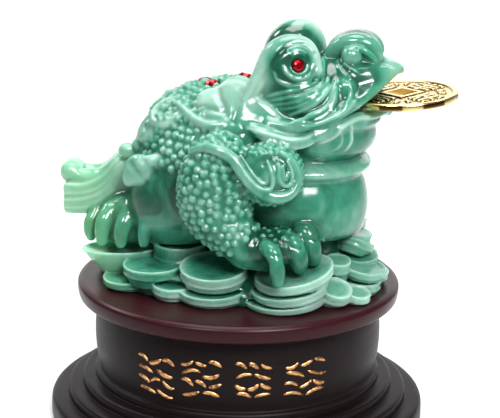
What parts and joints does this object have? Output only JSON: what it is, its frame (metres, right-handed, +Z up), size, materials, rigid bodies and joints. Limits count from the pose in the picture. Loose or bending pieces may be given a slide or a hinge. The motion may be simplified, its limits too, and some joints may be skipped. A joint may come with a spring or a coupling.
{
  "type": "money toad figure on a turning stand",
  "caption": "Three-legged toad figure in green resin on a bed of coins, with a gilt coin in its mouth, on a dark round stand whose top turns.",
  "frame": {"origin": "centre of the stand's underside, on the axis that the top turns about", "axes": "+Z up; -Y towards the viewer of the marked side of the drum; the toad faces about +X, 6 degrees towards -Y"},
  "size_m": [0.1493, 0.1414, 0.148],
  "materials": {
    "stand": "dark stained look, satin lacquer",
    "turning_top": "dark red-brown, satin lacquer",
    "green_resin": "glossy, milky at thin edges",
    "gilt_coin": "bright gilt",
    "red_stone": "cut and polished"
  },
  "bodies": {
    "stand": {"base": "stand"},
    "top": {"turntable": "turning_top", "toad": "green_resin", "mouth_coin": "gilt_coin", "eye_gem_near": "red_stone", "eye_gem_far": "red_stone", "back_gem_1": "red_stone", "back_gem_2": "red_stone", "back_gem_3": "red_stone", "back_gem_4": "red_stone", "back_gem_5": "red_stone", "back_gem_6": "red_stone", "back_gem_7": "red_stone"}
  },
  "joints": [
    {"name": "top_turn", "type": "hinge", "parent": "stand", "child": "top", "pos_m": [0, 0, 0.0464], "axis": [0, 0, 1], "continuous": true}
  ]
}
